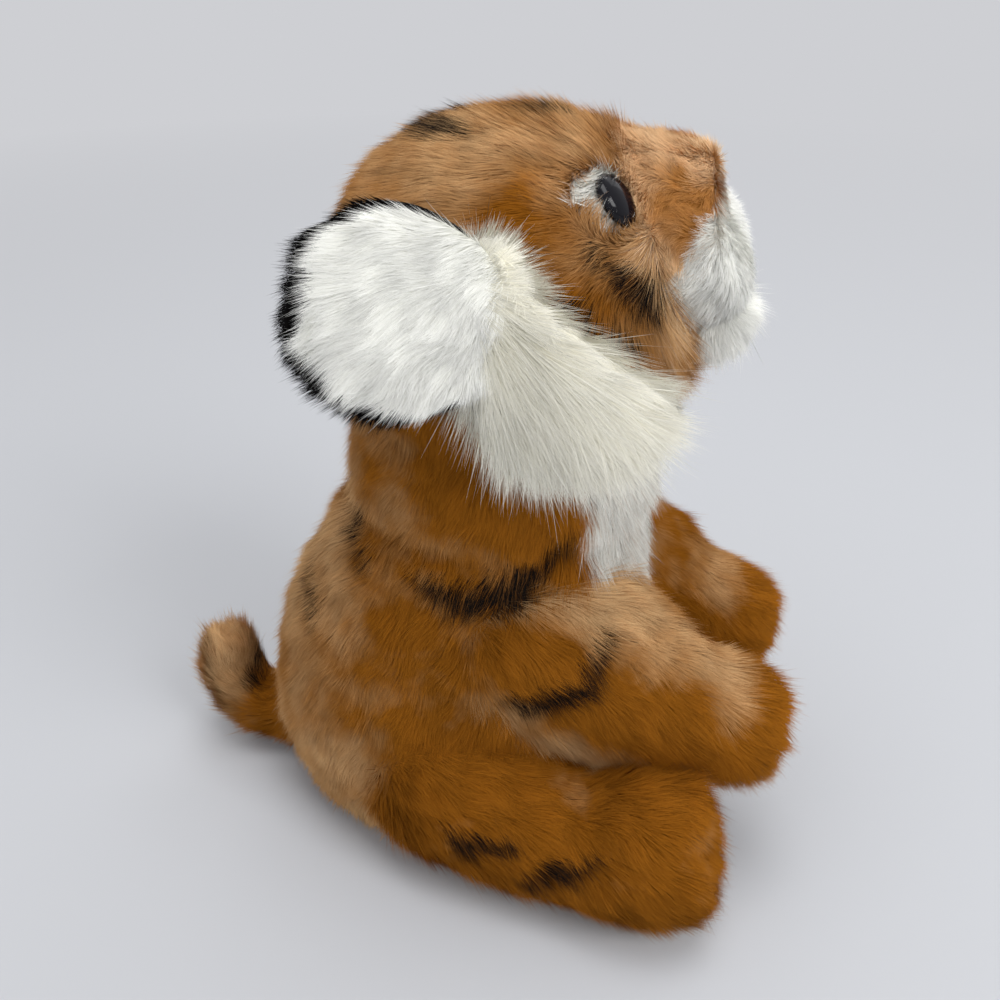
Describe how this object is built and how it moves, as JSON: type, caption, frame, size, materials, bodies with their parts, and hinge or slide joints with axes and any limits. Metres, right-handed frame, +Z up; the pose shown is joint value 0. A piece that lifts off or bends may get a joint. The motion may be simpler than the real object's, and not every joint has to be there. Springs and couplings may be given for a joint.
{
  "type": "plush tiger",
  "caption": "Soft stuffed tiger that sits upright with forelegs stretched forward, head raised, round ears and a stubby curled tail.",
  "frame": {"origin": "centre of the flat underside of the seat, on the surface that the toy sits on", "axes": "+Z up, the toy faces -Y, its right side is at -X and its left side at +X"},
  "size_m": [0.1768, 0.2272, 0.2545],
  "materials": {
    "gold_pile": "golden brown plush pile with black stripes",
    "tan_pile": "tan plush pile, whitish at its end",
    "brown_pile": "short brown plush pile",
    "white_pile": "white plush pile",
    "ivory_pile": "long ivory plush pile",
    "black_pile": "black plush pile",
    "fibre": "loose polyester fibre",
    "pellets": "bag of plastic pellets",
    "eye_plastic": "glossy black",
    "washer_plastic": "matt white",
    "nose_felt": "pinkish brown short felt",
    "dark_thread": "dark sewing thread",
    "gold_thread": "brown sewing thread"
  },
  "bodies": {
    "torso": {"torso_skin": "gold_pile", "chest_panel": "white_pile", "seat_panel": "brown_pile", "torso_filling": "fibre", "pellet_bag": "pellets"},
    "neck": {"neck_collar": "gold_pile", "neck_filling": "fibre"},
    "head": {"head_skin": "gold_pile", "head_filling": "fibre", "muzzle": "brown_pile", "chin": "white_pile", "nose": "nose_felt", "mouth_thread": "dark_thread", "whisker_pad_right": "white_pile", "whisker_pad_left": "white_pile", "eye_right": "eye_plastic", "eye_left": "eye_plastic", "eye_washer_right": "washer_plastic", "eye_washer_left": "washer_plastic", "eye_patch_right": "white_pile", "eye_patch_left": "white_pile", "cheek_ruff_right": "ivory_pile", "cheek_ruff_left": "ivory_pile"},
    "ear_right": {"ear_front_right": "white_pile", "ear_back_right": "black_pile"},
    "ear_left": {"ear_front_left": "white_pile", "ear_back_left": "black_pile"},
    "foreleg_right": {"foreleg_skin_right": "gold_pile", "foreleg_filling_right": "fibre", "foreleg_inner_thread_right": "gold_thread", "foreleg_outer_thread_right": "gold_thread"},
    "foreleg_left": {"foreleg_skin_left": "gold_pile", "foreleg_filling_left": "fibre", "foreleg_inner_thread_left": "gold_thread", "foreleg_outer_thread_left": "gold_thread"},
    "hind_leg_right": {"hind_leg_skin_right": "gold_pile", "hind_leg_filling_right": "fibre", "hind_leg_inner_thread_right": "gold_thread", "hind_leg_outer_thread_right": "gold_thread"},
    "hind_leg_left": {"hind_leg_skin_left": "gold_pile", "hind_leg_filling_left": "fibre", "hind_leg_inner_thread_left": "gold_thread", "hind_leg_outer_thread_left": "gold_thread"},
    "tail": {"tail_skin": "gold_pile", "tail_tip": "tan_pile", "tail_filling": "fibre"}
  },
  "joints": [
    {"name": "neck_turn", "type": "hinge", "parent": "torso", "child": "neck", "pos_m": [0, -0.02, 0.204], "axis": [0, 0, 1], "range_deg": [-15, 15], "stiffness_Nm_per_rad": 0.3},
    {"name": "head_nod", "type": "hinge", "parent": "neck", "child": "head", "pos_m": [0, -0.02, 0.204], "axis": [1, 0, 0], "range_deg": [-8, 8], "stiffness_Nm_per_rad": 0.8},
    {"name": "ear_right_fold", "type": "hinge", "parent": "head", "child": "ear_right", "pos_m": [-0.053, -0.03303, 0.20452], "axis": [0.3003, -0.2152, 0.9293], "range_deg": [0, 25], "stiffness_Nm_per_rad": 0.02},
    {"name": "ear_left_fold", "type": "hinge", "parent": "head", "child": "ear_left", "pos_m": [0.053, -0.03303, 0.20452], "axis": [0.3003, 0.2152, -0.9293], "range_deg": [0, 25], "stiffness_Nm_per_rad": 0.02},
    {"name": "foreleg_right_lift", "type": "hinge", "parent": "torso", "child": "foreleg_right", "pos_m": [-0.031, -0.034, 0.09], "axis": [-1, 0, 0], "range_deg": [0, 25], "stiffness_Nm_per_rad": 0.06},
    {"name": "foreleg_left_lift", "type": "hinge", "parent": "torso", "child": "foreleg_left", "pos_m": [0.031, -0.034, 0.09], "axis": [-1, 0, 0], "range_deg": [0, 25], "stiffness_Nm_per_rad": 0.06},
    {"name": "hind_leg_right_splay", "type": "hinge", "parent": "torso", "child": "hind_leg_right", "pos_m": [-0.046, -0.008, 0.03], "axis": [0, 0, -1], "range_deg": [0, 20], "stiffness_Nm_per_rad": 0.06},
    {"name": "hind_leg_left_splay", "type": "hinge", "parent": "torso", "child": "hind_leg_left", "pos_m": [0.046, -0.008, 0.03], "axis": [0, 0, 1], "range_deg": [0, 20], "stiffness_Nm_per_rad": 0.06},
    {"name": "tail_swing", "type": "hinge", "parent": "torso", "child": "tail", "pos_m": [0, 0.05494, 0.022], "axis": [0, 0, 1], "range_deg": [-15, 15], "stiffness_Nm_per_rad": 0.03}
  ]
}
